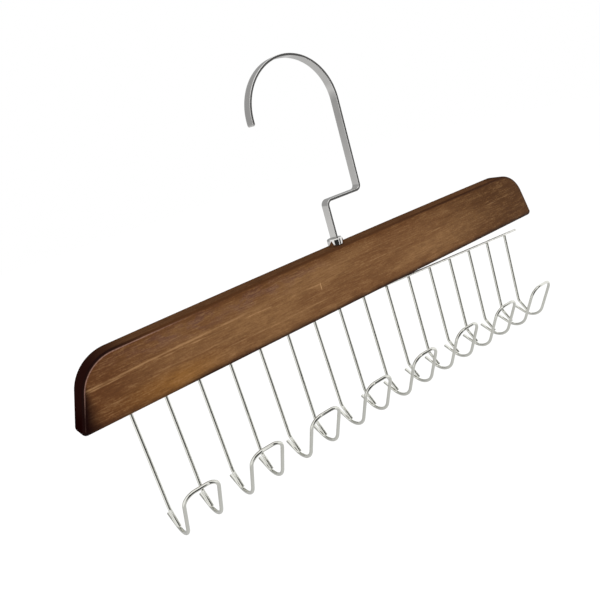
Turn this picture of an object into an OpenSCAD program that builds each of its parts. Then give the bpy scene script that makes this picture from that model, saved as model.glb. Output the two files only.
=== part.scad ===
// Tie hanger: a flat wooden bar on a swivel hook bent from flat strip, with sixteen wire
// legs under the bar that carry eight double loops.
// The origin is the centre of the hook's round top, where the rail it hangs on lies.
// The bar runs along X, the loops point towards -Y, and +Z is up.
// Heights in the sizes below are measured from the bar's underside.

/* [Bar] */
// Length of the bar along its underside
bar_length = 354; // [345:1:400]
// Height of the bar at its middle
bar_height = 36; // [30:0.5:44]
// Thickness of the bar from front to back
bar_thickness = 13; // [12:0.5:18]
// Fall of the gently arched top edge, measured at crown_span from the middle
crown_drop = 1; // [0.5:0.1:3]
// Distance from the middle at which crown_drop is measured
crown_span = 172; // [150:1:190]
// Lean of the bar's ends from the vertical, in degrees
end_lean = 19; // [10:1:24]
// Radius of the bar's top corners
corner_radius = 22.5; // [12:0.5:26]

/* [Legs and loops] */
// Number of legs, an even number, because two legs carry one loop
leg_count = 16; // [12:2:16]
// Distance between neighbouring legs
leg_pitch = 20; // [17:0.5:21]
// Diameter of the wire in the legs and loops
wire_d = 2; // [1.6:0.1:2.4]
// Depth below the bar at which the legs bend forward
leg_bend_depth = 58.7; // [54:0.1:59]
// Radius of that bend at the wire's centre line
leg_bend_radius = 4; // [3:0.5:5]
// Angle of the legs' feet from the vertical, in degrees
leg_foot_angle = 37; // [33:1:40]
// Distance that a loop's tail reaches behind the legs
tail_reach = 5; // [2:0.5:5]
// Depth of the tail's end below the bar
tail_depth = 63.3; // [63:0.1:65]
// Distance in front of the legs of the corner that the trough's bend rounds off
trough_reach = 13.8; // [13:0.1:15]
// Depth of that corner below the bar
trough_depth = 74; // [73:0.1:76]
// Radius of the trough's bend at the wire's centre line
trough_radius = 12; // [11:0.5:13]
// Distance in front of the legs of the loops' crossbars
crossbar_reach = 31.2; // [28:0.1:34]
// Depth of the crossbars below the bar
crossbar_depth = 40.6; // [38:0.1:46]
// Radius of the corners between a crossbar and its two feet
crossbar_radius = 6.8; // [4:0.1:8]

/* [Rail] */
// Diameter of the thin rail that joins the legs' tops
rail_d = 1.6; // [1.2:0.1:2]
// Length of the rail
rail_length = 326; // [322:1:336]
// Place along the bar where the rail leaves its groove and hangs lower towards the right end
rail_kink = -14; // [-19:1:-11]
// Radius of the rail's slight bend at that place
rail_kink_radius = 40; // [30:5:50]
// Angle at which the rail hangs below the bar from there on, in degrees
rail_sag_angle = 2.9; // [2:0.1:3.2]
// Place along the bar from which the loops hang lower too
loop_sag_start = 70; // [60:1:90]
// Angle at which the row of loops hangs lower from there on, in degrees
loop_sag_angle = 1.2; // [0.5:0.1:1.6]

/* [Hook] */
// Width of the hook's strip from front to back
strip_width = 6.2; // [5:0.1:7]
// Thickness of the strip
strip_thickness = 1.5; // [1.2:0.1:2]
// Radius of the hook's round top at the middle of the strip
hook_radius = 30.3; // [26:0.1:34]
// Height of the centre of the round top
hook_height = 117.4; // [105:0.1:130]
// Distance of the upper shank from the swivel's axis
shank_offset = 26.5; // [20:0.5:30]
// Height of the level stretch between the lower and the upper shank
step_height = 63.1; // [55:0.1:70]
// Radius of the strip's two bends beside the level stretch, at the middle of the strip
strip_bend_radius = 3; // [2.5:0.1:4]
// Length of the straight tip beyond the round top
tip_length = 2; // [1:0.5:12]

/* [Swivel] */
// Diameter of the collar that holds the hook's strip
collar_d = 9.7; // [9:0.1:11]
// Height of the collar
collar_height = 4.4; // [3.5:0.1:6]
// Rounding of the collar's edges
collar_edge = 0.7; // [0.3:0.1:1]
// Depth of the strip's slot in the collar
slot_depth = 3.4; // [2.5:0.1:3.5]
// Diameter of the stud below the collar
stud_d = 4.8; // [3.5:0.1:5]
// Free length of the stud below the nut
stud_end = 1; // [0.5:0.1:2]
// Height of the recess for the nut in the bar's underside
recess_height = 12; // [10:0.5:14]
// Diameter of that recess
recess_d = 11.2; // [11:0.1:11.5]
// Diameter of the washer under the recess's roof
washer_d = 10.4; // [9.5:0.1:10.8]
// Thickness of that washer
washer_thickness = 1; // [0.8:0.1:1.5]
// Distance across the nut's flats
nut_flats = 8; // [7:0.1:8.5]
// Height of the nut
nut_height = 3.6; // [3:0.1:4]

/* [Clearances] */
// Radial clearance of the stud in the bar and the washer
running_gap = 0.08; // [0.05:0.01:0.1]
// Axial clearance of the collar and the nut
axial_gap = 0.05; // [0.02:0.01:0.1]
// Clearance between parts that are pressed or welded together
seat_gap = 0.02; // [0.01:0.01:0.05]

/* [Hidden] */
$fn = 48;
// Number of straight steps that draw the bar's gently arched top edge
crown_steps = 24;
// Length added to a cutting tool so that it runs clear of the face that it cuts
past = 1;
// Extra radius of the ring that closes each joint between two stretches of wire
joint_swell = 0.03;
// Length of that ring
joint_length = 0.5;
// Slit between two stretches of wire, inside that ring
joint_slit = 0.01;

LEG_NAMES = [for (i = [1:leg_count]) str("leg_", i)];
LOOP_NAMES = [for (j = [1:leg_count / 2]) str("loop_", j)];

wood_colour = "#6f4a28";
chrome_colour = "#d4d6d8";
steel_colour = "#b9bbbd";

wire_r = wire_d / 2;
rail_r = rail_d / 2;

// The hook's round top is centred on the origin, so the bar and its swivel lie below it
hook_centre = shank_offset - hook_radius;

// Arched top edge: part of a very large circle that touches the bar's height at the middle
crown_radius = (crown_span * crown_span + crown_drop * crown_drop) / (2 * crown_drop);
crown_centre = bar_height - crown_radius;

// Centre of a top corner, from a circle that touches the leaning end and the arched top
corner_line = bar_length / 2 - corner_radius / cos(end_lean);
corner_a = 1 + tan(end_lean) * tan(end_lean);
corner_b = -crown_centre - corner_line * tan(end_lean);
corner_c = corner_line * corner_line + crown_centre * crown_centre
    - (crown_radius - corner_radius) * (crown_radius - corner_radius);
corner_z = (-corner_b + sqrt(corner_b * corner_b - corner_a * corner_c)) / corner_a;
corner_x = corner_line - tan(end_lean) * corner_z;
crown_direction = atan2(corner_z - crown_centre, corner_x);
end_touch = [corner_x + corner_radius * cos(end_lean), corner_z + corner_radius * sin(end_lean)];
crown_touch = [
    corner_x + corner_radius * cos(crown_direction),
    corner_z + corner_radius * sin(crown_direction)
];

// The rail lies flush in its groove as far as the kink and hangs lower from there on
rail_seat = rail_r + seat_gap;
rail_left = [-rail_length / 2, rail_seat];
rail_bend = [rail_kink, rail_seat];
rail_right = [rail_length / 2, rail_height(rail_length / 2)];
groove_width = rail_d + 2 * seat_gap;
groove_depth = rail_d + 2 * seat_gap;
groove_length = rail_length + 2 * seat_gap;

function leg_x(i) = (i - (leg_count + 1) / 2) * leg_pitch;
function loop_x(j) = (leg_x(2 * j - 1) + leg_x(2 * j)) / 2;
function rail_height(x) = rail_seat - max(0, x - rail_kink) * tan(rail_sag_angle);
function loop_sag(x) = max(0, x - loop_sag_start) * tan(loop_sag_angle);

// Height of a leg's top, just below the rail's lowest line where the leg meets it
function leg_top(x) = x < rail_kink
    ? rail_seat - rail_r - seat_gap
    : rail_height(x) - rail_r / cos(rail_sag_angle) - wire_r * tan(rail_sag_angle) - seat_gap;

// Side view of the loops, as distances forward of the legs and heights
tail_end = [-tail_reach, -tail_depth];
trough_corner = [trough_reach, -trough_depth];
crossbar_point = [crossbar_reach, -crossbar_depth];
foot_middle = (trough_corner + crossbar_point) / 2;
foot_half = norm(crossbar_point - trough_corner) / 2;
foot_lower = foot_middle + unit(trough_corner - foot_middle) * joint_slit;
foot_lean = atan2(crossbar_reach - trough_reach, trough_depth - crossbar_depth);
trough_centre = bend_centre(tail_end, trough_corner, crossbar_point, trough_radius);

// The leg's foot runs forward until the rim of its cut end lies on the inside of the trough's bend
leg_corner = [0, -leg_bend_depth];
foot_direction = [sin(leg_foot_angle), -cos(leg_foot_angle)];
rim_offset = wire_r * [-cos(leg_foot_angle), -sin(leg_foot_angle)];
rim_start = leg_corner + rim_offset - trough_centre;
weld_radius = trough_radius - wire_r - seat_gap;
rim_along = rim_start * foot_direction;
leg_foot = -rim_along + sqrt(rim_along * rim_along - rim_start * rim_start + weld_radius * weld_radius);
leg_end = leg_corner + leg_foot * foot_direction;

collar_bottom = bar_height + axial_gap;
collar_top = collar_bottom + collar_height;
slot_bottom = collar_top - slot_depth;
strip_foot = slot_bottom + seat_gap;
washer_bottom = recess_height - washer_thickness - seat_gap;
nut_top = washer_bottom - axial_gap;
nut_bottom = nut_top - nut_height;
stud_bottom = nut_bottom - stud_end;

function unit(v) = v / norm(v);
function heading(v) = atan2(v[1], v[0]);
function wrapped(a) = a > 180 ? a - 360 : (a < -180 ? a + 360 : a);
function turn(a, b, c) = wrapped(heading(c - b) - heading(b - a));
function bend_centre(a, b, c, r) =
    b + unit(unit(a - b) + unit(c - b)) * r / cos(abs(turn(a, b, c)) / 2);
function trim(points, radii, i) =
    i == 0 || i == len(points) - 1
        ? 0
        : radii[i] * tan(abs(turn(points[i - 1], points[i], points[i + 1])) / 2);

// Ring a hair wider than the wire, which joins a straight stretch to the bend beside it
module wire_joint(place, direction, d) {
    translate([place[0], place[1], 0])
        rotate([0, 0, direction])
            rotate([0, 90, 0])
                cylinder(d = d + 2 * joint_swell, h = joint_length, center = true);
}

// Round wire along straight stretches in the XY plane, with a round bend at each inner point
module bent_wire(points, radii, d) {
    for (i = [0:len(points) - 2]) {
        along = unit(points[i + 1] - points[i]);
        direction = heading(along);
        start = points[i] + along * trim(points, radii, i);
        end = points[i + 1] - along * trim(points, radii, i + 1);
        start_slit = i == 0 ? 0 : joint_slit;
        end_slit = i == len(points) - 2 ? 0 : joint_slit;
        translate([start[0], start[1], 0])
            rotate([0, 0, direction])
                rotate([0, 90, 0])
                    translate([0, 0, start_slit])
                        cylinder(d = d, h = norm(end - start) - start_slit - end_slit);
        if (start_slit > 0) wire_joint(start, direction, d);
        if (end_slit > 0) wire_joint(end, direction, d);
    }
    for (i = [1:len(points) - 2]) {
        angle = turn(points[i - 1], points[i], points[i + 1]);
        centre = bend_centre(points[i - 1], points[i], points[i + 1], radii[i]);
        first = angle > 0
            ? heading(points[i] - points[i - 1]) - 90
            : heading(points[i + 1] - points[i]) + 90;
        translate([centre[0], centre[1], 0])
            rotate([0, 0, first])
                rotate_extrude(angle = abs(angle))
                    translate([radii[i], 0])
                        circle(d = d);
    }
}

// Puts a drawing of forward distance and height upright in the plane of one leg
module side_plane(x) {
    translate([x, 0, 0])
        rotate([0, 0, -90])
            rotate([90, 0, 0])
                children();
}

// Moves what is measured from the bar's underside to its place below the origin
module below_hook() {
    translate([-hook_centre, 0, -hook_height])
        children();
}

// Quarter of a strip's bend, seen from the side
module strip_bend(centre, quarter) {
    translate(centre)
        rotate(quarter * 90)
            intersection() {
                difference() {
                    circle(r = strip_bend_radius + strip_thickness / 2);
                    circle(r = strip_bend_radius - strip_thickness / 2);
                }
                square(strip_bend_radius + strip_thickness);
            }
}

// Front view of the wooden bar
module bar_outline() {
    for (side = [0, 1])
        mirror([side, 0])
            translate([corner_x, corner_z])
                intersection() {
                    circle(r = corner_radius);
                    square(corner_radius + past);
                }
    polygon(concat(
        [
            [-corner_x, corner_z],
            [-end_touch[0], end_touch[1]],
            [-bar_length / 2, 0],
            [bar_length / 2, 0],
            end_touch,
            [corner_x, corner_z]
        ],
        [
            for (i = [0:crown_steps])
                let (x = crown_touch[0] * (1 - 2 * i / crown_steps))
                    [x, crown_centre + sqrt(crown_radius * crown_radius - x * x)]
        ]
    ));
}

module wood_bar() {
    color(wood_colour)
        below_hook()
            difference() {
                translate([0, bar_thickness / 2, 0])
                    rotate([90, 0, 0])
                        linear_extrude(bar_thickness)
                            bar_outline();
                translate([0, 0, -past])
                    cylinder(d = stud_d + 2 * running_gap, h = bar_height + 2 * past);
                translate([0, 0, -past])
                    cylinder(d = recess_d, h = recess_height + past);
                translate([-groove_length / 2, -groove_width / 2, -past])
                    cube([groove_length, groove_width, groove_depth + past]);
            }
}

// Flat strip: lower shank, level stretch, upper shank, round top and short tip
module swivel_hook() {
    half = strip_thickness / 2;
    step_start = [strip_bend_radius, step_height - strip_bend_radius];
    step_end = [shank_offset - strip_bend_radius, step_height + strip_bend_radius];
    color(chrome_colour)
        below_hook()
            translate([0, strip_width / 2, 0])
                rotate([90, 0, 0])
                    linear_extrude(strip_width) {
                        translate([-half, strip_foot])
                            square([strip_thickness, step_start[1] - strip_foot]);
                        strip_bend(step_start, 1);
                        translate([step_start[0], step_height - half])
                            square([step_end[0] - step_start[0], strip_thickness]);
                        strip_bend(step_end, 3);
                        translate([shank_offset - half, step_end[1]])
                            square([strip_thickness, hook_height - step_end[1]]);
                        translate([hook_centre, hook_height])
                            intersection() {
                                difference() {
                                    circle(r = hook_radius + half);
                                    circle(r = hook_radius - half);
                                }
                                translate([-hook_radius - past, 0])
                                    square([2 * (hook_radius + past), hook_radius + past]);
                            }
                        translate([hook_centre - hook_radius - half, hook_height - tip_length])
                            square([strip_thickness, tip_length]);
                    }
}

// Turned collar with rounded edges, a slot for the strip and a stud below
module collar_stud() {
    rim = collar_d / 2 - collar_edge;
    color(chrome_colour)
        below_hook()
            difference() {
                union() {
                    rotate_extrude() {
                        translate([0, collar_bottom])
                            square([rim, collar_height]);
                        translate([0, collar_bottom + collar_edge])
                            square([collar_d / 2, collar_height - 2 * collar_edge]);
                        for (z = [collar_bottom + collar_edge, collar_top - collar_edge])
                            translate([rim, z])
                                circle(r = collar_edge);
                    }
                    translate([0, 0, stud_bottom])
                        cylinder(d = stud_d, h = collar_bottom - stud_bottom);
                }
                translate([
                    -strip_thickness / 2 - seat_gap,
                    -strip_width / 2 - seat_gap,
                    slot_bottom
                ])
                    cube([
                        strip_thickness + 2 * seat_gap,
                        strip_width + 2 * seat_gap,
                        slot_depth + past
                    ]);
            }
}

module stud_washer() {
    color(steel_colour)
        below_hook()
            difference() {
                translate([0, 0, washer_bottom])
                    cylinder(d = washer_d, h = washer_thickness);
                translate([0, 0, washer_bottom - past])
                    cylinder(d = stud_d + 2 * running_gap, h = washer_thickness + 2 * past);
            }
}

module stud_nut() {
    color(steel_colour)
        below_hook()
            difference() {
                translate([0, 0, nut_bottom])
                    cylinder(d = nut_flats / cos(30), h = nut_height, $fn = 6);
                translate([0, 0, nut_bottom - past])
                    cylinder(d = stud_d + 2 * seat_gap, h = nut_height + 2 * past);
            }
}

module leg_rail() {
    color(chrome_colour)
        below_hook()
            rotate([90, 0, 0])
                bent_wire([rail_left, rail_bend, rail_right], [0, rail_kink_radius, 0], rail_d);
}

// One leg, from the rail down to the cut end that is welded on its loop
module leg(i) {
    sag = loop_sag(loop_x(ceil(i / 2)));
    drop = [0, -sag];
    color(chrome_colour)
        below_hook()
            side_plane(leg_x(i))
                bent_wire(
                    [[0, leg_top(leg_x(i))], leg_corner + drop, leg_end + drop],
                    [0, leg_bend_radius, 0],
                    wire_d
                );
}

// One loop: a tail, a trough and a foot in line with each leg, and a crossbar between the feet
module loop(j) {
    side = leg_pitch / 2;
    color(chrome_colour)
        below_hook()
            translate([loop_x(j), 0, -loop_sag(loop_x(j))]) {
                for (x = [-side, side])
                    side_plane(x) {
                        bent_wire([tail_end, trough_corner, foot_lower], [0, trough_radius, 0], wire_d);
                        wire_joint(foot_middle, heading(foot_middle - trough_corner), wire_d);
                    }
                translate([0, -crossbar_reach, -crossbar_depth])
                    rotate([90 + foot_lean, 0, 0])
                        bent_wire(
                            [[-side, -foot_half], [-side, 0], [side, 0], [side, -foot_half]],
                            [0, crossbar_radius, crossbar_radius, 0],
                            wire_d
                        );
            }
}

wood_bar();
swivel_hook();
collar_stud();
stud_washer();
stud_nut();
leg_rail();
for (i = [1:leg_count]) leg(i);
for (j = [1:leg_count / 2]) loop(j);
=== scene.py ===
import math

import bmesh
import bpy
from mathutils import Matrix, Vector


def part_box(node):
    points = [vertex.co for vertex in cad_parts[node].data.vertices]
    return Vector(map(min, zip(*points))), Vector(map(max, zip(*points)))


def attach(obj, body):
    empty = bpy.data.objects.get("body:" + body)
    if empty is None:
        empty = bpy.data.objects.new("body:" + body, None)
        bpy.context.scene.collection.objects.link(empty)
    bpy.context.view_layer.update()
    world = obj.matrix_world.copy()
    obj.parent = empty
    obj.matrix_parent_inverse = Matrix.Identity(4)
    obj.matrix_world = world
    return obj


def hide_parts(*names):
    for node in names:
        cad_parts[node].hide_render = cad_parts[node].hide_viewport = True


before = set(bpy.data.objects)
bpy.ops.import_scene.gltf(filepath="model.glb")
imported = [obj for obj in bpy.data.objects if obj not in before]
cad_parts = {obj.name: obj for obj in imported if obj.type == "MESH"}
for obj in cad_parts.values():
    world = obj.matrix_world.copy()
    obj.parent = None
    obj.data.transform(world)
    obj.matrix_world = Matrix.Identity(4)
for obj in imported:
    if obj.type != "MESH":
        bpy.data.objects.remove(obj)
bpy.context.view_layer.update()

# The origin is the centre of the hook's round top. +Z is up. The loops face the camera, on the -Y side.
MM = 0.001
# Below this angle in radians, a path counts as straight
STRAIGHT_TURN = 1e-4

# Sizes of the bar, in millimetres
BAR_END_LEAN = 19.0
BAR_CORNER_RADIUS = 22.5
BAR_CROWN_DROP = 1.0
BAR_CROWN_SPAN = 172.0
BAR_EDGE_RADIUS = 1.6
BAR_BOTTOM_CORNER_RADIUS = 2.4
SMALLEST_CORNER_RADIUS = 0.02
GROOVE_WIDTH = 1.64
RECESS_RADIUS = 5.6
RECESS_HEIGHT = 12.0
# Distances of the front's and the back's inner rings from the outline
FACE_RINGS = (14.0, 9.0, 5.0, 2.6)

# Sizes of the wires, in millimetres, with heights measured from the bar's underside
WIRE_RADIUS = 1.0
RAIL_END_INSET = 0.05
RAIL_RADIUS = 0.8
RAIL_KINK = -14.0
RAIL_KINK_RADIUS = 40.0
LEG_BEND_DEPTH = 58.7
LEG_BEND_RADIUS = 4.0
LEG_FOOT = (6.48, -67.30)
TAIL_END = (-5.0, -63.3)
TROUGH_CORNER = (13.8, -74.0)
TROUGH_RADIUS = 12.0
CROSSBAR = (31.2, -40.6)
CROSSBAR_RADIUS = 6.8
LOOP_HALF_WIDTH = 10.0
# Sideways lean of each pair of legs with its loop, as the distance per unit of depth
PAIR_LEAN = (0.020, 0.020, 0.026, 0.038, 0.040, 0.036, 0.035, 0.030)

# Sizes of the hook's strip, in millimetres
STRIP_WIDTH = 6.2
STRIP_THICKNESS = 1.5
STRIP_EDGE_RADIUS = 0.3
HOOK_RADIUS = 30.3
STEP_BELOW_TOP = 54.3
STRIP_BEND_RADIUS = 3.0
STRIP_TIP_LENGTH = 2.0
STRIP_TIP_ROUNDING = 1.2

# Sizes of the collar and the stud below it, in millimetres
STUD_RADIUS = 2.4
STUD_CHAMFER = 0.3
COLLAR_EDGE_RADIUS = 0.9
COLLAR_LIFT = 0.05

# Camera, from the photograph: place in metres, axes as unit vectors, lens and sensor in millimetres
CAMERA_PLACE = (-0.22535, -0.31357, -0.00369)
CAMERA_FORWARD = (0.5073, 0.8214, -0.2605)
CAMERA_RIGHT = (0.7787, -0.5665, -0.2698)
CAMERA_LENS = 39.24
CAMERA_SENSOR = 36.0

bar_low, bar_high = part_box("wood_bar")
BAR_HALF = (bar_high.x - bar_low.x) / 2 / MM
BAR_HEIGHT = (bar_high.z - bar_low.z) / MM
BAR_DEPTH = (bar_high.y - bar_low.y) / MM
AXIS_X = (bar_high.x + bar_low.x) / 2
UNDERSIDE = bar_low.z
TROUGH_LOWEST = (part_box("loop_1")[0].z - UNDERSIDE) / MM


def link(obj):
    bpy.context.scene.collection.objects.link(obj)
    return obj


def mesh_object(name, verts, faces, smooth=True):
    mesh = bpy.data.meshes.new(name)
    mesh.from_pydata([tuple(v) for v in verts], [], faces)
    mesh.validate()
    for polygon in mesh.polygons:
        polygon.use_smooth = smooth
    return link(bpy.data.objects.new(name, mesh))


def metal_piece(piece, node, material, body):
    """Gives a metal piece its material, and puts it in its node's place on its body."""
    piece.data.materials.append(material)
    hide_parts(node)
    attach(piece, body)


def at_bar(x, y, z):
    """A point in metres, from millimetres measured at the middle of the bar's underside."""
    return Vector((AXIS_X + x * MM, y * MM, UNDERSIDE + z * MM))


def rounded_path(points, radii, step_angle=6.0):
    """Points along straight stretches with a round bend of the given radius at each inner point."""
    points = [Vector(p) for p in points]
    path = [points[0]]
    for i in range(1, len(points) - 1):
        back = (points[i - 1] - points[i]).normalized()
        ahead = (points[i + 1] - points[i]).normalized()
        turn = math.pi - back.angle(ahead)
        if turn < STRAIGHT_TURN or radii[i] == 0:
            path.append(points[i])
            continue
        trim = radii[i] * math.tan(turn / 2)
        middle = (back + ahead).normalized()
        centre = points[i] + middle * radii[i] / math.cos(turn / 2)
        start = points[i] + back * trim - centre
        normal = back.cross(ahead).normalized()
        steps = max(2, math.ceil(math.degrees(turn) / step_angle))
        for k in range(steps + 1):
            path.append(centre + Matrix.Rotation(-turn * k / steps, 3, normal) @ start)
    path.append(points[-1])
    return path


def tube(name, path, radius, sides=24, cap=0.25, mid_place=0.35, mid_narrowing=0.3):
    """A round wire along a path, with softly rounded ends.

    An end narrows over cap, a share of the radius, by way of a ring at mid_place, a share of that length.
    """
    tangents = []
    for i in range(len(path)):
        a = path[max(i - 1, 0)]
        b = path[min(i + 1, len(path) - 1)]
        tangents.append((b - a).normalized())
    first = tangents[0]
    side = first.cross(Vector((1, 0, 0)))
    if side.length < 0.1:
        side = first.cross(Vector((0, 1, 0)))
    side.normalize()
    first_step = tangents[0] * radius * cap
    last_step = tangents[-1] * radius * cap
    mid_scale = 1.0 - cap * mid_narrowing
    rings = [
        (path[0], tangents[0], 1.0 - cap),
        (path[0] + first_step * mid_place, tangents[0], mid_scale),
        (path[0] + first_step, tangents[0], 1.0),
    ]
    for i in range(1, len(path) - 1):
        rings.append((path[i], tangents[i], 1.0))
    rings += [
        (path[-1] - last_step, tangents[-1], 1.0),
        (path[-1] - last_step * mid_place, tangents[-1], mid_scale),
        (path[-1], tangents[-1], 1.0 - cap),
    ]
    verts = []
    for place, tangent, scale in rings:
        side = (side - tangent * side.dot(tangent)).normalized()
        other = tangent.cross(side)
        for k in range(sides):
            angle = 2 * math.pi * k / sides
            verts.append(place + (side * math.cos(angle) + other * math.sin(angle)) * radius * scale)
    faces = []
    for r in range(len(rings) - 1):
        for k in range(sides):
            n = (k + 1) % sides
            faces.append((r * sides + k, r * sides + n, (r + 1) * sides + n, (r + 1) * sides + k))
    faces.append(tuple(reversed(range(sides))))
    faces.append(tuple((len(rings) - 1) * sides + k for k in range(sides)))
    piece = mesh_object(name, verts, faces)
    for polygon in piece.data.polygons:
        if len(polygon.vertices) > 4:
            polygon.use_smooth = False
    return piece


# Materials

def srgb(red, green, blue):
    """A linear colour from the 0 to 255 values of a screen."""
    return tuple(((v / 255 + 0.055) / 1.055) ** 2.4 for v in (red, green, blue))


class Nodes:
    """Short calls for building a node tree."""

    def __init__(self, name):
        self.material = bpy.data.materials.new(name)
        self.material.use_nodes = True
        self.tree = self.material.node_tree
        self.shader = self.tree.nodes["Principled BSDF"]
        self.coordinates = self.tree.nodes.new("ShaderNodeTexCoord").outputs["Object"]

    def join(self, a, b):
        self.tree.links.new(a, b)

    def add(self, kind, **settings):
        made = self.tree.nodes.new(kind)
        for key, value in settings.items():
            setattr(made, key, value)
        return made

    def put(self, socket, value):
        if isinstance(value, bpy.types.NodeSocket):
            self.join(value, socket)
        else:
            socket.default_value = value

    def stretched(self, scale, offset=(0, 0, 0)):
        """The object's coordinates in metres, scaled so that a noise of scale 1 has the wanted grain."""
        made = self.add("ShaderNodeMapping")
        self.join(self.coordinates, made.inputs["Vector"])
        made.inputs["Scale"].default_value = scale
        made.inputs["Location"].default_value = offset
        return made.outputs["Vector"]

    def noise(self, vector, scale, detail=4.0, roughness=0.5, distortion=0.0):
        made = self.add("ShaderNodeTexNoise")
        self.join(vector, made.inputs["Vector"])
        made.inputs["Scale"].default_value = scale
        made.inputs["Detail"].default_value = detail
        made.inputs["Roughness"].default_value = roughness
        made.inputs["Distortion"].default_value = distortion
        return made.outputs["Fac"]

    def math(self, operation, a, b=0.0, c=0.0, clamp=False):
        made = self.add("ShaderNodeMath", operation=operation, use_clamp=clamp)
        for socket, value in zip(made.inputs, (a, b, c)):
            self.put(socket, value)
        return made.outputs[0]

    def span(self, value, low, high, to_low=0.0, to_high=1.0, smooth=True):
        """Takes low to to_low and high to to_high, and holds there beyond them."""
        made = self.add("ShaderNodeMapRange", interpolation_type="SMOOTHSTEP" if smooth else "LINEAR")
        self.put(made.inputs["Value"], value)
        made.inputs["From Min"].default_value = low
        made.inputs["From Max"].default_value = high
        made.inputs["To Min"].default_value = to_low
        made.inputs["To Max"].default_value = to_high
        return made.outputs["Result"]

    def mix(self, factor, a, b):
        made = self.add("ShaderNodeMix", data_type="RGBA", blend_type="MIX")
        self.put(made.inputs["Factor"], factor)
        for socket, value in ((made.inputs["A"], a), (made.inputs["B"], b)):
            colours = [s for s in made.inputs if s.name == socket.name and s.type == "RGBA"]
            value = (*value, 1) if isinstance(value, tuple) and len(value) == 3 else value
            self.put(colours[0], value)
        return [s for s in made.outputs if s.type == "RGBA"][0]

    def bump(self, height, strength, distance):
        made = self.add("ShaderNodeBump")
        self.join(height, made.inputs["Height"])
        made.inputs["Strength"].default_value = strength
        made.inputs["Distance"].default_value = distance
        self.join(made.outputs["Normal"], self.shader.inputs["Normal"])


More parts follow.
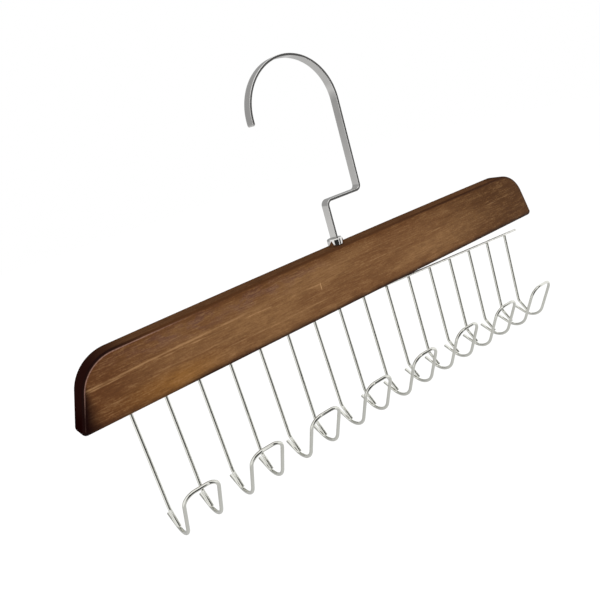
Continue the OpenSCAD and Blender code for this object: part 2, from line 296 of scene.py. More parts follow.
class Wood(Nodes):
    """Stained wood: grain along the bar, light streaks, and stain and painted shade at the edges.

    x and z are millimetres from the middle of the bar's underside. edge and ends are the distances
    from the bar's outline and from its leaning ends, in millimetres, which the mesh carries.
    """

    BROWN = srgb(112, 76, 46)
    LIGHT_BROWN = srgb(128, 92, 58)
    # Painted sheen: a cooler, greyer brown high on the left of the front
    SHEEN_BROWN = srgb(98, 68, 58)
    GOLDEN = srgb(136, 92, 44)
    LEFT_END = srgb(92, 56, 30)
    TOP_BAND = srgb(86, 50, 22)
    RIGHT_END = srgb(80, 50, 24)
    PALE_FIBRE = srgb(176, 136, 92)
    DARK_FIBRE = srgb(58, 34, 22)
    PORE = srgb(66, 40, 24)
    STREAK = srgb(182, 142, 98)
    BOTTOM_SHADE_AND_STAIN = srgb(36, 18, 14)
    END_STAIN = srgb(24, 4, 2)
    CORNER_STAIN = srgb(20, 8, 6)
    RIGHT_STAIN = srgb(52, 32, 20)
    EDGE_LEFT = srgb(76, 46, 24)
    EDGE_RIGHT = srgb(56, 30, 12)
    EDGE_END = srgb(26, 9, 6)
    SIDE_DARK = srgb(68, 43, 26)
    SIDE_LIGHT = srgb(98, 68, 45)
    SIDE_END = srgb(34, 15, 12)
    # Painted highlight: a light line where the front meets its rounded edge, on the bar's left part
    EDGE_HIGHLIGHT = srgb(150, 116, 104)

    # Wandering light lines along the bar: height, swing, strength and place in the noise
    STREAKS = (
        (20.0, 8.0, 0.60, 0.0),
        (9.6, 4.0, 0.32, 3.7),
        (26.5, 6.0, 0.14, 7.9),
        (14.5, 6.0, 0.14, 11.3),
    )
    # A short upright scratch: its place along the bar and its height
    SCRATCH = (-23.0, 18.5)

    def __init__(self, name):
        super().__init__(name)
        place = self.add("ShaderNodeSeparateXYZ")
        self.join(self.coordinates, place.inputs[0])
        self.x = self.math("MULTIPLY", self.math("SUBTRACT", place.outputs["X"], AXIS_X), 1 / MM)
        self.z = self.math("MULTIPLY", self.math("SUBTRACT", place.outputs["Z"], UNDERSIDE), 1 / MM)
        self.edge = self.add("ShaderNodeAttribute", attribute_name="edge_distance").outputs["Fac"]
        self.ends = self.add("ShaderNodeAttribute", attribute_name="end_distance").outputs["Fac"]
        self.mottle = self.noise(self.stretched((90.0, 160.0, 220.0), (0.3, 0.1, 0.7)), 1.0, 4.0, 0.6, 0.4)
        long_grain = self.stretched((130.0, 1300.0, 1500.0), (0.9, 0.2, 0.4))
        self.fibre = self.noise(long_grain, 1.0, 4.0, 0.6, 0.2)
        self.fleck = self.noise(self.stretched((900.0, 900.0, 1500.0), (0.5, 0.4, 0.9)), 1.0, 2.0, 0.6)
        pores = self.noise(self.stretched((420.0, 3000.0, 2600.0), (0.1, 0.6, 0.2)), 1.0, 3.0, 0.6)
        self.pore_mask = self.span(pores, 0.60, 0.74)
        coarse = self.math("ADD", self.centred(self.fibre, 1.1), self.centred(self.mottle, 0.5))
        self.grain = self.math("ADD", coarse, self.centred(self.fleck, 0.6))
        self.wobble = self.centred(self.mottle, 2.0)
        self.on_left = self.span(self.x, -100.0, -60.0, 1.0, 0.0)

    def product(self, first, *others):
        for other in others:
            first = self.math("MULTIPLY", first, other)
        return first

    def centred(self, noise, size):
        """A noise about zero, between minus and plus half the size."""
        return self.math("MULTIPLY", self.math("SUBTRACT", noise, 0.5), size)

    def away(self, value, place):
        return self.math("ABSOLUTE", self.math("SUBTRACT", value, place))

    def broad_tones(self):
        """Brown in soft patches, golden low on the left and darker at the ends and the top."""
        broad = self.noise(self.stretched((14.0, 40.0, 90.0)), 1.0, 3.0, 0.55, 0.8)
        colour = self.mix(self.span(broad, 0.35, 0.65), self.BROWN, self.LIGHT_BROWN)
        # Painted sheen: cooler, greyer brown in patches high on the left, standing in for a reflection on
        # the satin front
        high_left = self.product(self.span(self.z, 20.0, 31.0), self.span(self.x, -60.0, 10.0, 1.0, 0.0))
        painted_sheen = self.product(high_left, self.span(self.mottle, 0.42, 0.62), 0.75)
        colour = self.mix(painted_sheen, colour, self.SHEEN_BROWN)
        low = self.span(self.z, 7.0, 15.0, 1.0, 0.0)
        golden = self.product(low, self.span(self.x, -125.0, -85.0, 1.0, 0.0), 0.85)
        colour = self.mix(golden, colour, self.GOLDEN)
        colour = self.mix(self.span(self.x, -168.0, -112.0, 0.95, 0.0), colour, self.LEFT_END)
        colour = self.mix(self.span(self.z, 28.0, 35.0, 0.0, 0.7), colour, self.TOP_BAND)
        high_right = self.product(self.span(self.z, 14.0, 30.0), self.span(self.x, 20.0, 110.0, 0.0, 0.3))
        right = self.math("ADD", self.span(self.x, 60.0, 165.0, 0.0, 0.95), high_right, clamp=True)
        return self.mix(right, colour, self.RIGHT_END)

    def add_grain(self, colour):
        """Pale and dark fibres, and fine dark pores."""
        pale = self.span(self.grain, 0.0, 0.55, 0.0, 0.5, smooth=False)
        colour = self.mix(pale, colour, self.PALE_FIBRE)
        dark = self.span(self.grain, 0.0, -0.55, 0.0, 0.6, smooth=False)
        colour = self.mix(dark, colour, self.DARK_FIBRE)
        return self.mix(self.product(self.pore_mask, 0.35), colour, self.PORE)

    def wandering(self, scale, seed, detail, roughness, swing, height):
        """The height of a line that wanders up and down along the bar."""
        noise = self.noise(self.stretched((scale, 0.0, 0.0), (seed, 0.0, 0.0)), 1.0, detail, roughness)
        return self.math("ADD", self.centred(noise, swing), height)

    def add_streaks(self, colour):
        """Thin light lines with breaks, a scratch, and one long line in the bar's left part."""
        scratch_x, scratch_z = self.SCRATCH
        lines = self.product(
            self.span(self.away(self.x, scratch_x), 0.15, 0.4, 0.8, 0.0),
            self.span(self.away(self.z, scratch_z), 1.4, 2.8, 1.0, 0.0),
        )
        for height, swing, strength, seed in self.STREAKS:
            rise = self.wandering(9.0, seed, 3.0, 0.5, swing, height)
            gaps = self.noise(self.stretched((55.0, 0.0, 260.0), (seed, 0.0, 0.3)), 1.0, 3.0, 0.6)
            line = self.span(self.away(self.z, rise), 0.05, 0.6, 1.0, 0.0)
            line = self.product(line, self.span(gaps, 0.44, 0.66), strength)
            lines = self.math("MAXIMUM", lines, line)
        climb = self.span(self.x, -175.0, -70.0, 20.5, 22.5, smooth=False)
        rise = self.wandering(14.0, 5.3, 4.0, 0.6, 3.0, climb)
        long_line = self.product(
            self.span(self.away(self.z, rise), 0.1, 0.8, 1.0, 0.0),
            self.span(self.x, -100.0, -50.0, 0.46, 0.0),
            self.span(self.mottle, 0.30, 0.55, 0.35, 1.0),
        )
        lines = self.math("MAXIMUM", lines, long_line)
        on_front = self.product(self.span(self.edge, 1.0, 2.5), self.span(self.x, -20.0, 60.0, 1.0, 0.5))
        return self.mix(self.product(lines, on_front), colour, self.STREAK)

    def add_stain(self, colour):
        """Painted shade and stain along the bottom, dark stain at the ends, widest at the foot of the left
        end.
        """
        # Painted shade and stain: darker towards the bottom edge, most to the right of the left end
        low = self.span(self.math("ADD", self.z, self.wobble), 0.2, 4.2, 0.95, 0.0)
        near_bottom = self.product(low, self.span(self.x, -140.0, -105.0, 0.55, 1.0))
        colour = self.mix(near_bottom, colour, self.BOTTOM_SHADE_AND_STAIN)
        reach = self.span(self.z, 2.0, 27.0, 13.0, 1.2, smooth=False)
        depth = self.math("DIVIDE", self.math("ADD", self.ends, self.product(self.wobble, 0.6)), reach)
        near_left = self.product(self.span(depth, 0.2, 1.15, 1.0, 0.0), self.on_left)
        colour = self.mix(near_left, colour, self.END_STAIN)
        from_corner = self.math("ADD", self.product(self.ends, 0.5), self.z)
        near_corner = self.product(self.span(from_corner, 0.8, 3.4, 1.0, 0.0), self.on_left)
        colour = self.mix(near_corner, colour, self.CORNER_STAIN)
        on_right = self.math("SUBTRACT", 1.0, self.on_left)
        near_right = self.product(self.span(self.ends, 0.0, 5.0, 0.45, 0.0), on_right)
        return self.mix(near_right, colour, self.RIGHT_STAIN)

    def add_edges(self, colour):
        """Darker rounded edges and side, with a painted highlight line where the front begins."""
        upper = self.span(self.z, 6.0, 16.0)
        tone = self.mix(self.span(self.x, 20.0, 100.0), self.EDGE_LEFT, self.EDGE_RIGHT)
        tone = self.mix(self.span(self.x, -155.0, -120.0, 1.0, 0.0), tone, self.EDGE_END)
        colour = self.mix(self.product(self.span(self.edge, 1.0, 2.0, 1.0, 0.0), upper), colour, tone)
        tone = self.mix(self.span(self.grain, -0.4, 0.4), self.SIDE_DARK, self.SIDE_LIGHT)
        tone = self.mix(self.span(self.ends, 2.0, 34.0, 1.0, 0.0), tone, self.SIDE_END)
        colour = self.mix(self.product(self.span(self.edge, 0.05, 0.5, 1.0, 0.0), upper), colour, tone)
        # Painted highlight: a light line along the front's rounded edge on the left part, standing in for
        # lamp light
        painted_highlight = self.product(
            self.span(self.away(self.edge, 1.7), 0.1, 0.4, 0.8, 0.0),
            self.span(self.x, -145.0, -95.0, 1.0, 0.0),
            self.span(self.z, 6.0, 26.0, 0.1, 1.0),
            self.span(self.z, 1.8, 3.0),
            self.span(self.fleck, 0.3, 0.6, 0.55, 1.0),
        )
        return self.mix(painted_highlight, colour, self.EDGE_HIGHLIGHT)

    def finish(self, colour):
        """Joins the colour, and gives a satin front, a duller side and a relief of fibres and pores."""
        self.join(colour, self.shader.inputs["Base Color"])
        polish = self.span(self.edge, 0.1, 1.0)
        dull = self.product(self.math("SUBTRACT", 1.0, polish), 0.25)
        roughness = self.math("ADD", self.span(self.fibre, 0.3, 0.7, 0.34, 0.46), dull)
        self.join(roughness, self.shader.inputs["Roughness"])
        self.join(self.product(polish, 0.06), self.shader.inputs["Specular IOR Level"])
        relief = self.math("ADD", self.product(self.mottle, 0.3), self.product(self.fibre, 0.7))
        relief = self.math("SUBTRACT", relief, self.product(self.pore_mask, 0.4))
        self.bump(relief, 0.2, 0.0002)


def wood_material():
    wood = Wood("stained_wood")
    colour = wood.add_grain(wood.broad_tones())
    colour = wood.add_stain(wood.add_streaks(colour))
    wood.finish(wood.add_edges(colour))
    return wood.material


def chrome_material(name, colour, roughness):
    """Polished plate with faint ripples and slight changes of tone."""
    n = Nodes(name)
    clouds = n.noise(n.stretched((35.0, 35.0, 35.0)), 1.0, 3.0, 0.6)
    ripple = n.noise(n.stretched((300.0, 300.0, 300.0)), 1.0, 3.0, 0.55)
    tone = n.mix(n.span(clouds, 0.35, 0.7), colour, tuple(c * 0.93 for c in colour))
    n.join(tone, n.shader.inputs["Base Color"])
    n.shader.inputs["Metallic"].default_value = 1.0
    n.join(n.span(ripple, 0.3, 0.8, roughness * 0.8, roughness * 1.3), n.shader.inputs["Roughness"])
    n.bump(ripple, 0.06, 0.0001)
    return n.material


def steel_material():
    """Plain plated steel with a turned finish."""
    n = Nodes("plain_steel")
    grain = n.noise(n.stretched((900.0, 900.0, 4000.0)), 1.0, 4.0, 0.6)
    clouds = n.noise(n.stretched((120.0, 120.0, 120.0)), 1.0, 3.0, 0.6)
    tone = n.mix(n.span(clouds, 0.35, 0.7), (0.60, 0.60, 0.59), (0.46, 0.46, 0.46))
    n.join(tone, n.shader.inputs["Base Color"])
    n.shader.inputs["Metallic"].default_value = 1.0
    n.join(n.span(grain, 0.3, 0.8, 0.28, 0.5), n.shader.inputs["Roughness"])
    n.bump(grain, 0.12, 0.0001)
    return n.material


WOOD = wood_material()
STRIP_CHROME = chrome_material("chrome_strip", (0.82, 0.81, 0.79), 0.10)
WIRE_CHROME = chrome_material("chrome_wire", (0.81, 0.81, 0.75), 0.08)
RAIL_CHROME = chrome_material("chrome_rail", (0.86, 0.85, 0.80), 0.30)
STEEL = steel_material()


# Wooden bar

def bar_ring(inset, arc_steps=18, crown_steps=28, bottom_steps=40, corner_steps=5):
    """The bar's outline, drawn in from its edge by inset, as (x, z) points in a fixed count."""
    lean = math.radians(BAR_END_LEAN)
    crown_radius = (BAR_CROWN_SPAN ** 2 + BAR_CROWN_DROP ** 2) / (2 * BAR_CROWN_DROP)
    crown_centre = BAR_HEIGHT - crown_radius
    line = BAR_HALF - BAR_CORNER_RADIUS / math.cos(lean)
    slope = math.tan(lean)
    a = 1 + slope * slope
    b = -crown_centre - line * slope
    c = line * line + crown_centre ** 2 - (crown_radius - BAR_CORNER_RADIUS) ** 2
    corner_z = (-b + math.sqrt(b * b - a * c)) / a
    corner_x = line - slope * corner_z
    crown_angle = math.atan2(corner_z - crown_centre, corner_x)
    radius = BAR_CORNER_RADIUS - inset
    bottom_x = BAR_HALF - inset / math.cos(lean) - inset * slope
    corner_radius = max(BAR_BOTTOM_CORNER_RADIUS - inset, SMALLEST_CORNER_RADIUS)
    trim = corner_radius / math.tan(math.pi / 4 - lean / 2)
    right = []
    for k in range(corner_steps + 1):
        angle = -math.pi / 2 + (math.pi / 2 + lean) * k / corner_steps
        right.append((
            bottom_x - trim + corner_radius * math.cos(angle),
            inset + corner_radius + corner_radius * math.sin(angle),
        ))
    for k in range(arc_steps + 1):
        angle = lean + (crown_angle - lean) * k / arc_steps
        right.append((corner_x + radius * math.cos(angle), corner_z + radius * math.sin(angle)))
    top_x = right[-1][0]
    crown = []
    for k in range(1, crown_steps):
        x = top_x * (1 - 2 * k / crown_steps)
        crown.append((x, crown_centre + math.sqrt((crown_radius - inset) ** 2 - x * x)))
    bottom = []
    flat = bottom_x - trim
    for k in range(1, bottom_steps):
        bottom.append((-flat + 2 * flat * k / bottom_steps, inset))
    left = [(-x, z) for x, z in reversed(right)]
    return bottom + right + crown + left


def end_distance(x, z):
    """How far a point of the bar lies inside its nearer leaning end, in millimetres."""
    return max(0.0, BAR_HALF - z * math.tan(math.radians(BAR_END_LEAN)) - abs(x))


def build_bar(edge_steps=5, side_ring=0.4):
    """The bar as rings from the middle of its front, round the edge and over the side to its back."""
    half = BAR_DEPTH / 2
    edge = BAR_EDGE_RADIUS
    insets = [(inset, 0.0) for inset in (*FACE_RINGS, edge)]
    for k in range(1, edge_steps + 1):
        angle = math.radians(90 * k / edge_steps)
        insets.append((edge - edge * math.sin(angle), edge - edge * math.cos(angle)))
    rings = [(inset, -half + depth) for inset, depth in insets]
    rings += [(0.0, -half * side_ring), (0.0, half * side_ring)]
    rings += [(inset, half - depth) for inset, depth in reversed(insets)]
    outline = [bar_ring(inset) for inset, _ in rings]
    count = len(outline[0])
    verts, edges, ends = [], [], []
    for (inset, depth), points in zip(rings, outline):
        for x, z in points:
            verts.append(at_bar(x, depth, z))
            edges.append(inset)
            ends.append(end_distance(x, z))
    faces = []
    for r in range(len(rings) - 1):
        for k in range(count):
            n = (k + 1) % count
            faces.append((r * count + k, (r + 1) * count + k, (r + 1) * count + n, r * count + n))
    faces.append(tuple(range(count)))
    faces.append(tuple((len(rings) - 1) * count + k for k in reversed(range(count))))
    bar = mesh_object("wooden_bar", verts, faces)
    for name, values in (("edge_distance", edges), ("end_distance", ends)):
        attribute = bar.data.attributes.new(name, "FLOAT", "POINT")
        attribute.data.foreach_set("value", values)
    cut_bar(bar)
    bar.data.materials.append(WOOD)
    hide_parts("wood_bar")
    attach(bar, "bar")


def cut_bar(bar, sharp_angle=30.0, recess_sides=48):
    """Cuts the rail's groove and the nut's recess into the underside."""
    rail_low, rail_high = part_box("leg_rail")
    groove = bmesh.new()
    bmesh.ops.create_cube(groove, size=1.0)
    length = rail_high.x - rail_low.x
    depth = 2 * GROOVE_WIDTH * MM
    bmesh.ops.scale(groove, vec=(length, GROOVE_WIDTH * MM, depth), verts=groove.verts)
    bmesh.ops.translate(groove, vec=((rail_low.x + rail_high.x) / 2, 0, UNDERSIDE), verts=groove.verts)
    recess = bmesh.new()
    radius = RECESS_RADIUS * MM
    depth = 2 * RECESS_HEIGHT * MM
    bmesh.ops.create_cone(
        recess, segments=recess_sides, radius1=radius, radius2=radius, depth=depth, cap_ends=True)
    bmesh.ops.translate(recess, vec=(AXIS_X, 0, UNDERSIDE), verts=recess.verts)
    for shape in (groove, recess):
        mesh = bpy.data.meshes.new("cutter")
        shape.to_mesh(mesh)
        shape.free()
        cutter = link(bpy.data.objects.new("cutter", mesh))
        cut = bar.modifiers.new("cut", "BOOLEAN")
        cut.operation = "DIFFERENCE"
        cut.solver = "EXACT"
        cut.object = cutter
        graph = bpy.context.evaluated_depsgraph_get()
        made = bpy.data.meshes.new_from_object(bar.evaluated_get(graph))
        bar.modifiers.clear()
        bar.data = made
        bpy.data.objects.remove(cutter)
    for polygon in bar.data.polygons:
        polygon.use_smooth = True
    bar.data.set_sharp_from_angle(angle=math.radians(sharp_angle))
    weigh_normals(bar)


# Wires

def leaning(x, point, sag, lean):
    """A point of a leg's or loop's side view, as (distance forward, height), at a place along the bar."""
    height = point[1] - sag
    return at_bar(x - height * lean, -point[0], height)


def build_rail():
    low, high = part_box("leg_rail")
    seat = high.z - RAIL_RADIUS * MM
    end = low.z + RAIL_RADIUS * MM
    points = [
        Vector((low.x + RAIL_END_INSET * MM, 0, seat)),
        Vector((AXIS_X + RAIL_KINK * MM, 0, seat)),
        Vector((high.x - RAIL_END_INSET * MM, 0, end)),
    ]
    rail = tube("rail_wire", rounded_path(points, [0, RAIL_KINK_RADIUS * MM, 0]), RAIL_RADIUS * MM)
    metal_piece(rail, "leg_rail", RAIL_CHROME, "bar")


def build_leg(number, sag):
    low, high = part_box(f"leg_{number}")
    x = ((low.x + high.x) / 2 - AXIS_X) / MM
    top = (high.z - UNDERSIDE) / MM
    lean = PAIR_LEAN[(number - 1) // 2]
    points = [
        at_bar(x, 0, top),
        leaning(x, (0, -LEG_BEND_DEPTH), sag, lean),
        leaning(x, LEG_FOOT, sag, lean),
    ]
    leg = tube(f"leg_wire_{number}", rounded_path(points, [0, LEG_BEND_RADIUS * MM, 0]), WIRE_RADIUS * MM)
    metal_piece(leg, f"leg_{number}", WIRE_CHROME, "bar")


def build_loop(number):
    """One wire: a tail, a trough and a foot on each side, with a crossbar between. Returns its sag."""
    low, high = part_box(f"loop_{number}")
    x = ((low.x + high.x) / 2 - AXIS_X) / MM
    sag = TROUGH_LOWEST - (low.z - UNDERSIDE) / MM
    half = LOOP_HALF_WIDTH
    lean = PAIR_LEAN[number - 1]
    left = [leaning(x - half, p, sag, lean) for p in (TAIL_END, TROUGH_CORNER, CROSSBAR)]
    right = [leaning(x + half, p, sag, lean) for p in (CROSSBAR, TROUGH_CORNER, TAIL_END)]
    radii = [0, TROUGH_RADIUS * MM, CROSSBAR_RADIUS * MM, CROSSBAR_RADIUS * MM, TROUGH_RADIUS * MM, 0]
    loop = tube(f"loop_wire_{number}", rounded_path(left + right, radii), WIRE_RADIUS * MM)
    metal_piece(loop, f"loop_{number}", WIRE_CHROME, "bar")
    return sag


# Hook

def strip_section(width, thickness, radius, steps=4):
    """Outline of the flat strip's cross section with rounded edges, as (across, through) pairs."""
    points = []
    for sx, sy, start in ((1, 1, 0), (-1, 1, 90), (-1, -1, 180), (1, -1, 270)):
        for k in range(steps + 1):
            angle = math.radians(start + 90 * k / steps)
            points.append((
                sx * (width / 2 - radius) + radius * math.cos(angle),
                sy * (thickness / 2 - radius) + radius * math.sin(angle),
            ))
    return points


def hook_path(arc_steps=60):
    """The hook's side view: lower shank, step, upper shank and half-round top, about the model's origin."""
    right = HOOK_RADIUS * MM
    step_z = -STEP_BELOW_TOP * MM
    corners = [
        Vector((AXIS_X, 0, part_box("swivel_hook")[0].z)),
        Vector((AXIS_X, 0, step_z)),
        Vector((right, 0, step_z)),
        Vector((right, 0, 0)),
    ]
    bend = STRIP_BEND_RADIUS * MM
    path = rounded_path(corners, [0, bend, bend, 0], step_angle=5.0)
    for k in range(1, arc_steps + 1):
        angle = math.pi * k / arc_steps
        path.append(Vector((right * math.cos(angle), 0, right * math.sin(angle))))
    return path


def hook_rings(tip_steps=6, tip_start=0.35, tip_thinning=0.35):
    """Places along the strip, each with its share of the full width and thickness, narrowing at the tip."""
    path = hook_path()
    left = -HOOK_RADIUS * MM
    path.append(Vector((left, 0, -STRIP_TIP_LENGTH * MM * tip_start)))
    rings = [(place, 1.0, 1.0) for place in path]
    for k in range(1, tip_steps + 1):
        angle = math.radians(90 * k / tip_steps)
        z = (STRIP_TIP_ROUNDING * (1 - math.sin(angle)) - STRIP_TIP_LENGTH) * MM
        if z < path[-1].z:
            width = 1 - 2 * STRIP_TIP_ROUNDING * (1 - math.cos(angle)) / STRIP_WIDTH
            thickness = 1 - tip_thinning * (1 - math.cos(angle))
            rings.append((Vector((left, 0, z)), width, thickness))
    return rings


def build_hook(sharp_angle=35.0):
    """The strip swept along the hook's side view, with a tip whose corners are rounded."""
    rings = hook_rings()
    section = strip_section(STRIP_WIDTH * MM, STRIP_THICKNESS * MM, STRIP_EDGE_RADIUS * MM)
    verts = []
    for i, (place, width, thickness) in enumerate(rings):
        a = rings[max(i - 1, 0)][0]
        b = rings[min(i + 1, len(rings) - 1)][0]
        along = (b - a).normalized()
        through = Vector((along.z, 0, -along.x))
        for across, deep in section:
            verts.append(place + Vector((0, across * width, 0)) + through * deep * thickness)
    count = len(section)
    faces = []
    for r in range(len(rings) - 1):
        for k in range(count):
            n = (k + 1) % count
            faces.append((r * count + k, (r + 1) * count + k, (r + 1) * count + n, r * count + n))
    faces.append(tuple(range(count)))
    faces.append(tuple((len(rings) - 1) * count + k for k in reversed(range(count))))
    hook = mesh_object("hook_strip", verts, faces)
    repair_normals(hook)
    hook.data.set_sharp_from_angle(angle=math.radians(sharp_angle))
    weigh_normals(hook)
    metal_piece(hook, "swivel_hook", STRIP_CHROME, "hook")


def weigh_normals(piece):
    """Keeps flat faces flat where they meet small rounded edges."""
    weighted = piece.modifiers.new("weighted normals", "WEIGHTED_NORMAL")
    weighted.mode = "FACE_AREA"
    weighted.weight = 100
    weighted.keep_sharp = True


def repair_normals(piece):
    shape = bmesh.new()
    shape.from_mesh(piece.data)
    bmesh.ops.recalc_face_normals(shape, faces=shape.faces)
    shape.to_mesh(piece.data)
    shape.free()


def collar_profile(low, high, lower_steps=6, upper_steps=8):
    """The stud's and collar's outline from the bottom up, as (radius, z) pairs in metres."""
    radius = (high.x - low.x) / 2
    base = bar_high.z + COLLAR_LIFT * MM
    stud = STUD_RADIUS * MM
    chamfer = STUD_CHAMFER * MM
    edge = COLLAR_EDGE_RADIUS * MM
    lower_edge = edge / 2
    profile = [(0.0, low.z), (stud - chamfer, low.z), (stud, low.z + chamfer), (stud, base)]
    for k in range(lower_steps + 1):
        angle = math.radians(-90 + 90 * k / lower_steps)
        profile.append((
            radius - lower_edge + lower_edge * math.cos(angle),
            base + lower_edge + lower_edge * math.sin(angle),
        ))
    for k in range(upper_steps + 1):
        angle = math.radians(90 * k / upper_steps)
        profile.append((radius - edge + edge * math.cos(angle), high.z - edge + edge * math.sin(angle)))
    profile.append((0.0, high.z))
    return profile


def build_collar(sides=72, sharp_angle=40.0):
    """The turned collar with rounded edges and its stud, as one lathed piece."""
    profile = collar_profile(*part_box("collar_stud"))
    verts, faces = [Vector((AXIS_X, 0, profile[0][1]))], []
    inner = profile[1:-1]
    for r, z in inner:
        for k in range(sides):
            angle = 2 * math.pi * k / sides
            verts.append(Vector((AXIS_X + r * math.cos(angle), r * math.sin(angle), z)))
    verts.append(Vector((AXIS_X, 0, profile[-1][1])))
    last = len(verts) - 1
    for k in range(sides):
        n = (k + 1) % sides
        faces.append((0, 1 + n, 1 + k))
        for r in range(len(inner) - 1):
            a = 1 + r * sides
            b = a + sides
            faces.append((a + k, a + n, b + n, b + k))
        faces.append((last - sides + k, last - sides + n, last))
    collar = mesh_object("collar_and_stud", verts, faces)
    repair_normals(collar)
    collar.data.set_sharp_from_angle(angle=math.radians(sharp_angle))
    metal_piece(collar, "collar_stud", STRIP_CHROME, "hook")


def dress_nodes():
    """The nut and washer keep their CAD shape and get the plated steel."""
    for name in ("stud_nut", "stud_washer"):
        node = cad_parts[name]
        node.data.materials.clear()
        node.data.materials.append(STEEL)


build_bar()
build_rail()
for pair in range(1, len(PAIR_LEAN) + 1):
    pair_sag = build_loop(pair)
    for number in (2 * pair - 1, 2 * pair):
        build_leg(number, pair_sag)
build_hook()
build_collar()
dress_nodes()


# Camera, floor and lights

# Floor: its depth below the bar and half its side, in metres, and the strength and share of its own white
FLOOR_BELOW_BAR = 0.20
FLOOR_HALF = 3.0
FLOOR_WHITE = 1.08
FLOOR_GLOW_SHARE = 0.88
# Strength of the light from all round
WORLD_LIGHT = 0.55
# Lamps: name, place and size in metres, and power in watts
LAMPS = (
    ("key", (-0.9, -1.1, 1.1), 0.9, 14.0),
    ("fill", (1.0, -1.0, 0.3), 1.0, 5.0),
    ("rim", (0.3, 1.2, 1.0), 0.8, 8.0),
)
LAMP_TARGET = (0, 0, -0.1)
# Screens: the height of their middle in metres, and their steps each way
SCREEN_MIDDLE_Z = -0.1
SCREEN_STEPS = 36
# Each screen's name, distance in metres, and angles: middle, half width, lowest and highest
FRONT_SCREEN = ("dark_screen_front", 1.6, -108.0, 32.0, -42.0, 30.0)
RIGHT_SCREEN = ("dark_screen_right", 1.6, -53.0, 13.0, -55.0, 40.0)
BACK_SCREEN = ("grey_screen_back", 1.5, 100.0, 52.0, -50.0, 44.0)
LOWER_SCREEN = ("pale_screen_below", 1.7, 0.0, 180.0, -89.0, -40.0)
# Brightness of the screen at the back, by the angle above the horizon in degrees
BACK_SHADES = ((-18.0, 0.54), (-12.0, 0.64), (-9.0, 0.66), (-5.0, 0.52), (0.0, 0.44), (5.0, 0.36))


def build_camera():
    data = bpy.data.cameras.new("camera")
    data.sensor_width = CAMERA_SENSOR
    data.lens = CAMERA_LENS
    camera = link(bpy.data.objects.new("camera", data))
    ahead = Vector(CAMERA_FORWARD).normalized()
    right = Vector(CAMERA_RIGHT)
    right = (right - ahead * right.dot(ahead)).normalized()
    turned = Matrix((right, right.cross(ahead), -ahead)).transposed().to_4x4()
    turned.translation = Vector(CAMERA_PLACE)
    camera.matrix_world = turned
    bpy.context.scene.camera = camera


def seen_directly(nodes, links):
    """1 for camera, glossy and transmission rays, and 0 for the rest."""
    path = nodes.new("ShaderNodeLightPath")
    both = nodes.new("ShaderNodeMath")
    both.operation = "MAXIMUM"
    links.new(path.outputs["Is Camera Ray"], both.inputs[0])
    links.new(path.outputs["Is Glossy Ray"], both.inputs[1])
    every = nodes.new("ShaderNodeMath")
    every.operation = "MAXIMUM"
    links.new(both.outputs[0], every.inputs[0])
    links.new(path.outputs["Is Transmission Ray"], every.inputs[1])
    return every.outputs[0]


def build_floor():
    """A pale floor below the hanger that shows white and keeps a soft shadow."""
    height = UNDERSIDE - FLOOR_BELOW_BAR
    corners = [(x * FLOOR_HALF, y * FLOOR_HALF, height) for x, y in ((-1, -1), (1, -1), (1, 1), (-1, 1))]
    floor = mesh_object("floor", corners, [(0, 1, 2, 3)], smooth=False)
    material = bpy.data.materials.new("pale_floor")
    material.use_nodes = True
    nodes, links = material.node_tree.nodes, material.node_tree.links
    shader = nodes["Principled BSDF"]
    shader.inputs["Base Color"].default_value = (0.9, 0.9, 0.9, 1)
    shader.inputs["Roughness"].default_value = 0.9
    glow = nodes.new("ShaderNodeEmission")
    glow.inputs["Strength"].default_value = FLOOR_WHITE
    share = nodes.new("ShaderNodeMath")
    share.operation = "MULTIPLY"
    share.inputs[1].default_value = FLOOR_GLOW_SHARE
    links.new(seen_directly(nodes, links), share.inputs[0])
    mixed = nodes.new("ShaderNodeMixShader")
    links.new(share.outputs[0], mixed.inputs["Fac"])
    links.new(shader.outputs["BSDF"], mixed.inputs[1])
    links.new(glow.outputs["Emission"], mixed.inputs[2])
    links.new(mixed.outputs["Shader"], nodes["Material Output"].inputs["Surface"])
    floor.data.materials.append(material)
    floor.visible_glossy = False


def build_world():
    bpy.context.scene.view_settings.view_transform = "Standard"
    world = bpy.data.worlds.new("studio")
    bpy.context.scene.world = world
    world.use_nodes = True
    nodes, links = world.node_tree.nodes, world.node_tree.links
    background = nodes["Background"]
    background.inputs["Color"].default_value = (1, 1, 1, 1)
    strength = nodes.new("ShaderNodeMapRange")
    links.new(seen_directly(nodes, links), strength.inputs["Value"])
    strength.inputs["To Min"].default_value = WORLD_LIGHT
    strength.inputs["To Max"].default_value = 1.0
    links.new(strength.outputs["Result"], background.inputs["Strength"])


def even(brightness):
    """A screen's shade that is the same at every height."""
    return lambda angle: brightness


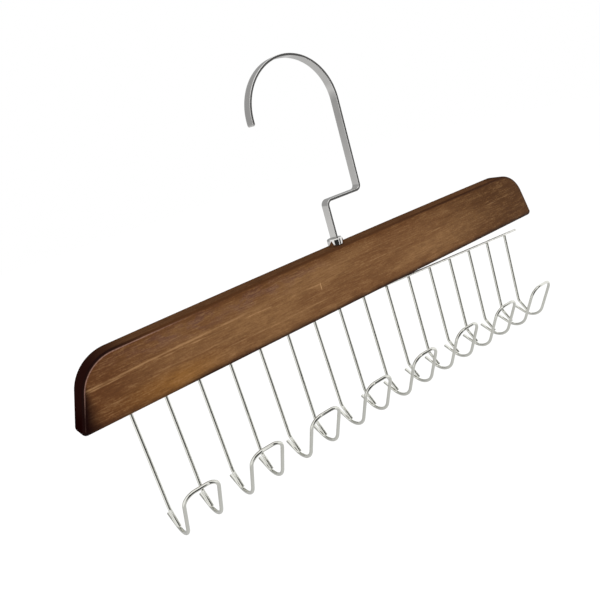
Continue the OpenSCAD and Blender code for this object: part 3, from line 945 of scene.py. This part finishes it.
def build_screen(name, distance, middle, half_width, low, high, shade):
    """A curved screen round the hanger that only mirror-like surfaces see, as in a photographer's tent.

    The angles are in degrees: middle and half_width round the upright axis, low and high above the horizon.
    shade gives the brightness at an angle above the horizon.
    """
    across = up = SCREEN_STEPS
    verts, faces, shades = [], [], []
    for i in range(across + 1):
        around = math.radians(middle + half_width * (2 * i / across - 1))
        for j in range(up + 1):
            angle = low + (high - low) * j / up
            rise = math.radians(angle)
            level = distance * math.cos(rise)
            height = SCREEN_MIDDLE_Z + distance * math.sin(rise)
            verts.append((level * math.cos(around), level * math.sin(around), height))
            shades.append(shade(angle))
    for i in range(across):
        for j in range(up):
            a = i * (up + 1) + j
            faces.append((a, a + 1, a + up + 2, a + up + 1))
    screen = mesh_object(name, verts, faces)
    screen.data.attributes.new("shade", "FLOAT", "POINT").data.foreach_set("value", shades)
    material = bpy.data.materials.new(name)
    material.use_nodes = True
    nodes, links = material.node_tree.nodes, material.node_tree.links
    glow = nodes.new("ShaderNodeEmission")
    brightness = nodes.new("ShaderNodeAttribute")
    brightness.attribute_name = "shade"
    links.new(brightness.outputs["Fac"], glow.inputs["Strength"])
    links.new(glow.outputs["Emission"], nodes["Material Output"].inputs["Surface"])
    screen.data.materials.append(material)
    screen.visible_camera = False
    screen.visible_diffuse = False
    screen.visible_shadow = False
    screen.visible_transmission = False


def back_shade(angle):
    """Lightest a little below the horizon and darker above it."""
    if angle <= BACK_SHADES[0][0]:
        return BACK_SHADES[0][1]
    for (low, below), (high, above) in zip(BACK_SHADES, BACK_SHADES[1:]):
        if angle <= high:
            return below + (above - below) * (angle - low) / (high - low)
    return BACK_SHADES[-1][1]


def build_lamp(name, place, size, watts):
    data = bpy.data.lights.new(name, "AREA")
    data.shape = "DISK"
    data.size = size
    data.energy = watts
    lamp = link(bpy.data.objects.new(name, data))
    away = Vector(LAMP_TARGET) - Vector(place)
    turn = away.to_track_quat("-Z", "Y").to_matrix().to_4x4()
    lamp.matrix_world = Matrix.Translation(Vector(place)) @ turn
    lamp.visible_glossy = False


build_camera()
build_floor()
build_world()
for lamp_name, lamp_place, lamp_size, lamp_watts in LAMPS:
    build_lamp(lamp_name, lamp_place, lamp_size, lamp_watts)
build_screen(*FRONT_SCREEN, even(0.03))
build_screen(*RIGHT_SCREEN, even(0.10))
build_screen(*BACK_SCREEN, back_shade)
build_screen(*LOWER_SCREEN, even(0.62))
